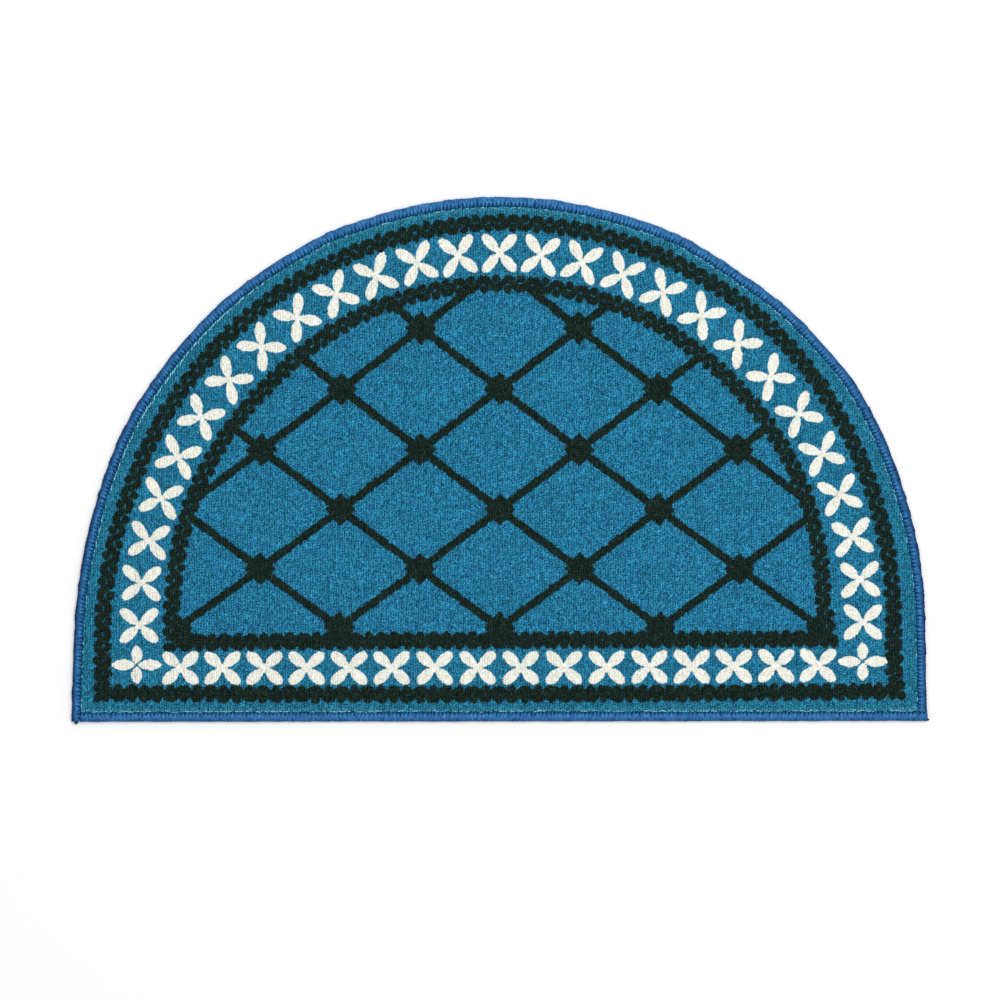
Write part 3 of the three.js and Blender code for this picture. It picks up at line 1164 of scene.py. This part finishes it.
class PileSettings(bpy.types.PropertyGroup):
    column_pitch: length_property(
        "Column pitch", "Distance between two columns of loops", 2.31 * MM
    )
    row_pitch: length_property("Row pitch", "Distance between two loops of a column", 2.55 * MM)
    height: length_property("Pile height", "Height of the loops' tops above the floor", 5.35 * MM)
    column_gap: length_property("Column gap", "Depth of the gaps between columns", 1.15 * MM)
    row_gap: length_property(
        "Row gap", "Depth of the dips between the loops of a column", 1.2 * MM
    )
    unevenness: FloatProperty(
        name="Unevenness",
        description="How irregular the loops are, from 0 to 2",
        default=1.0,
        min=0.0,
        max=2.0,
        subtype="FACTOR",
    )
    strips: IntProperty(
        name="Strips",
        description="Number of separate meshes that the pile is cut into",
        default=5,
        min=4,
        max=12,
    )


class PrintSettings(bpy.types.PropertyGroup):
    ground_dark: colour_property(
        "Ground, dark", "The darkest loops of the blue ground", (0.0, 0.20, 0.32)
    )
    ground_light: colour_property(
        "Ground, light", "The lightest loops of the blue ground", (0.235, 0.705, 0.89)
    )
    ground_rim: colour_property(
        "Ground at the rim",
        "The lightest loops of the greener blue outside the outer wave",
        (0.20, 0.65, 0.785),
    )
    black: colour_property("Black", "The black of the waves and the lattice", (0.165, 0.30, 0.25))


class EdgingSettings(bpy.types.PropertyGroup):
    stitch_pitch: length_property(
        "Stitch pitch", "Distance between two stitches of the edging", 3.6 * MM
    )
    slant: length_property(
        "Slant", "How far a stitch runs along the edge on its way across it", 1.6 * MM
    )
    yarn_dark: colour_property(
        "Yarn, dark", "The shaded filaments of the edging yarn", (0.03, 0.26, 0.46)
    )
    yarn_light: colour_property(
        "Yarn, light", "The lit filaments of the edging yarn", (0.28, 0.555, 0.79)
    )
    # The needle thread's colour: partly its own dark blue, partly painted shade of the needle line
    thread: colour_property(
        "Needle thread", "The thin dark thread in the needle line", (0.02, 0.18, 0.31)
    )


class BackSettings(bpy.types.PropertyGroup):
    thickness: length_property("Thickness", "Of the backing under the pile", 1.7 * MM)
    latex: colour_property("Latex", "The coat on the underside", (0.72, 0.72, 0.69))


class StudioSettings(bpy.types.PropertyGroup):
    camera_height: length_property(
        "Camera height", "Of the camera above the floor, looking straight down", 2.6
    )
    view_width: length_property(
        "View width", "How much of the floor the picture is wide", 0.9353
    )
    key_power: FloatProperty(
        name="Key light",
        description="Power of the large light behind the arch",
        default=42.0,
        subtype="POWER",
        unit="POWER",
    )
    sky: FloatProperty(
        name="Sky", description="Strength of the even light from all round", default=0.8
    )


SETTINGS = {
    "mat_pile": PileSettings,
    "mat_print": PrintSettings,
    "mat_edging": EdgingSettings,
    "mat_back": BackSettings,
    "mat_studio": StudioSettings,
}


# Back

# Its rim, pressed up into the edging
FLAT_RIM = 1.5 * MM  # of the underside, beside that one
ROOT_IN = 0.5 * MM  # how much further in the top of the back starts than the underside
TONGUE_FOOT = 1.2 * MM
TONGUE_THICKNESS = 1.3 * MM
TONGUE_SLOPE = 1.0 * MM
BACK_POINTS = 260


def carpet_back(thickness):
    """The backing, as one outline for each level from its underside to the roots of the pile."""
    inner, rim = EDGING_REACH + CLEARANCE, EDGING_REACH - SLOT_DEPTH + CLEARANCE
    tongue_top = TONGUE_FOOT + TONGUE_THICKNESS
    levels = (
        (inner + FLAT_RIM, 0.0),
        (inner, 0.0),
        (inner - TONGUE_SLOPE, TONGUE_FOOT),
        (rim, TONGUE_FOOT),
        (rim, tongue_top),
        (inner - TONGUE_SLOPE, tongue_top),
        (inner + ROOT_IN, thickness),
    )
    run = arch_run(0.0)
    stations = np.linspace(0, run.length, BACK_POINTS)
    rings = []
    for inset, height in levels:
        x, y = run.place(stations, inset)
        y = np.maximum(y, front_edge(x) + inset)
        rings.append(np.stack([x, y, np.full_like(x, height)], axis=1))
    faces = tube_faces(len(levels), BACK_POINTS, 0)
    piece = mesh_piece("carpet_back", np.concatenate(rings), faces, smooth=False)
    face_outwards(piece)
    return piece


# Operators

FLOOR_SIZE = 12.0
FLOOR_BELOW = 0.2 * MM  # the mat's underside
PICTURE_MIDDLE = (0.2 * MM, -38.1 * MM)
KEY_PLACE = (0.9, 1.0, 2.9)
KEY_TURN = (math.radians(-19), math.radians(17), 0)
KEY_SIZE = 1.4


def dress(piece, material):
    """Give a piece its material, and tell the frame its body."""
    piece.data.materials.append(material)
    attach(piece, "root")


class MAT_OT_back(bpy.types.Operator):
    """Lay the carpet's coated back, thinner where the edging holds it"""

    bl_idname = "mat.back"
    bl_label = "Back"

    def execute(self, context):
        settings = context.scene.mat_back
        piece = carpet_back(settings.thickness)
        dress(piece, back_material(settings.latex))
        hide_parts("mat_body")
        return {"FINISHED"}


class MAT_OT_pile(bpy.types.Operator):
    """Set out every loop of the pile with the print on it, in strips"""

    bl_idname = "mat.pile"
    bl_label = "Loop pile"

    def execute(self, context):
        settings = context.scene.mat_pile
        grid = PileGrid(settings)
        material = pile_material(context.scene.mat_print)
        kept_per_row = np.cumsum((grid.inset > PILE_END).sum(axis=0))
        shares = np.arange(settings.strips + 1) / settings.strips
        cuts = np.searchsorted(kept_per_row, shares * kept_per_row[-1])
        cuts = np.round(cuts / VERTS_PER_ROW).astype(int) * VERTS_PER_ROW
        cuts[0], cuts[-1] = 0, grid.i.shape[1]
        for k in range(settings.strips):
            piece = pile_strip(f"pile_{k + 1}", grid, cuts[k], cuts[k + 1])
            dress(piece, material)
        return {"FINISHED"}


class MAT_OT_edging(bpy.types.Operator):
    """Overlock the cut edge in two runs, with the needle thread beside them"""

    bl_idname = "mat.edging"
    bl_label = "Edging"

    def execute(self, context):
        settings = context.scene.mat_edging
        yarn_dark, yarn_light = linear(settings.yarn_dark), linear(settings.yarn_light)
        yarn = yarn_material("edging yarn", yarn_dark, yarn_light, 0.1, True)
        thread_dark, thread_light = linear(settings.thread, 0.7), linear(settings.thread)
        thread = yarn_material("needle thread", thread_dark, thread_light, 0.08)
        bare_dark, bare_light = linear((0.26, 0.60, 0.74)), linear((0.68, 0.92, 1.0))
        bare = yarn_material("undyed loops", bare_dark, bare_light, 0.1)
        under = core_material(settings.thread)
        foot = EDGING_REACH + CLEARANCE
        runs = (("arch", arch_run(foot), 1.0, 1.0), ("front", front_run(foot), 1.2, 0.4))
        for k, (side, run, fullness, raggedness) in enumerate(runs):
            node = f"edging_{side}"
            seed = SEED + k
            wrapped = stitches(f"{node}_stitches", run, settings, seed + 40, fullness, raggedness)
            dress(wrapped, yarn)
            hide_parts(node)
            dress(core(f"{node}_core", run), under)
            laid = needle_thread(f"needle_thread_{side}", run, settings, seed + 50)
            dress(laid, thread)
            pale = bare_loops(f"bare_loops_{side}", run, settings, seed + 60, side == "front")
            dress(pale, bare)
        for side, start, end, radius in THREAD_ENDS:
            dress(thread_end(f"thread_end_{side}", start, end, radius), yarn)
        return {"FINISHED"}


class MAT_OT_studio(bpy.types.Operator):
    """Lay a pale floor, light it softly and look straight down"""

    bl_idname = "mat.studio"
    bl_label = "Studio"

    def execute(self, context):
        scene, settings = context.scene, context.scene.mat_studio
        bpy.ops.object.select_all(action="DESELECT")
        bpy.ops.mesh.primitive_plane_add(size=FLOOR_SIZE, location=(0, 0, -FLOOR_BELOW))
        floor = context.object
        floor.name = "floor"
        n = Nodes("pale floor")
        n.surface((0.93, 0.93, 0.93, 1), 0.9, 0.1)
        floor.data.materials.append(n.material)
        bpy.ops.object.light_add(type="AREA", location=KEY_PLACE)
        key = context.object
        key.name = "key light"
        key.data.energy = settings.key_power
        key.data.size = KEY_SIZE
        key.rotation_euler = KEY_TURN
        world = bpy.data.worlds.new("sky")
        world.use_nodes = True
        background = world.node_tree.nodes["Background"]
        background.inputs["Color"].default_value = (1, 1, 1, 1)
        background.inputs["Strength"].default_value = settings.sky
        scene.world = world
        scene.view_settings.view_transform = "Standard"
        place = (*PICTURE_MIDDLE, settings.camera_height)
        bpy.ops.object.camera_add(location=place, rotation=(0, 0, 0))
        camera = context.object
        camera.name = "camera"
        above_pile = settings.camera_height - context.scene.mat_pile.height
        camera.data.sensor_width = 36
        camera.data.lens = camera.data.sensor_width * above_pile / settings.view_width
        camera.data.clip_end = 20
        scene.camera = camera
        return {"FINISHED"}


OPERATORS = (MAT_OT_back, MAT_OT_pile, MAT_OT_edging, MAT_OT_studio)


class MAT_PT_panel(bpy.types.Panel):
    """The mat's settings, and its pieces in the order they are made"""

    bl_idname = "MAT_PT_panel"
    bl_label = "Half moon bath mat"
    bl_space_type = "VIEW_3D"
    bl_region_type = "UI"
    bl_category = "Bath mat"

    def draw(self, context):
        for key, group in SETTINGS.items():
            box = self.layout.box()
            for name in group.__annotations__:
                box.prop(getattr(context.scene, key), name)
        for operator in OPERATORS:
            self.layout.operator(operator.bl_idname)


def register():
    for group in SETTINGS.values():
        bpy.utils.register_class(group)
    for key, group in SETTINGS.items():
        setattr(bpy.types.Scene, key, PointerProperty(type=group))
    for operator in OPERATORS:
        bpy.utils.register_class(operator)
    bpy.utils.register_class(MAT_PT_panel)


def unregister():
    bpy.utils.unregister_class(MAT_PT_panel)
    for operator in reversed(OPERATORS):
        bpy.utils.unregister_class(operator)
    for key in SETTINGS:
        delattr(bpy.types.Scene, key)
    for group in SETTINGS.values():
        bpy.utils.unregister_class(group)


def main():
    register()
    bpy.ops.mat.back()
    bpy.ops.mat.pile()
    bpy.ops.mat.edging()
    bpy.ops.mat.studio()


if __name__ == "__main__":
    main()
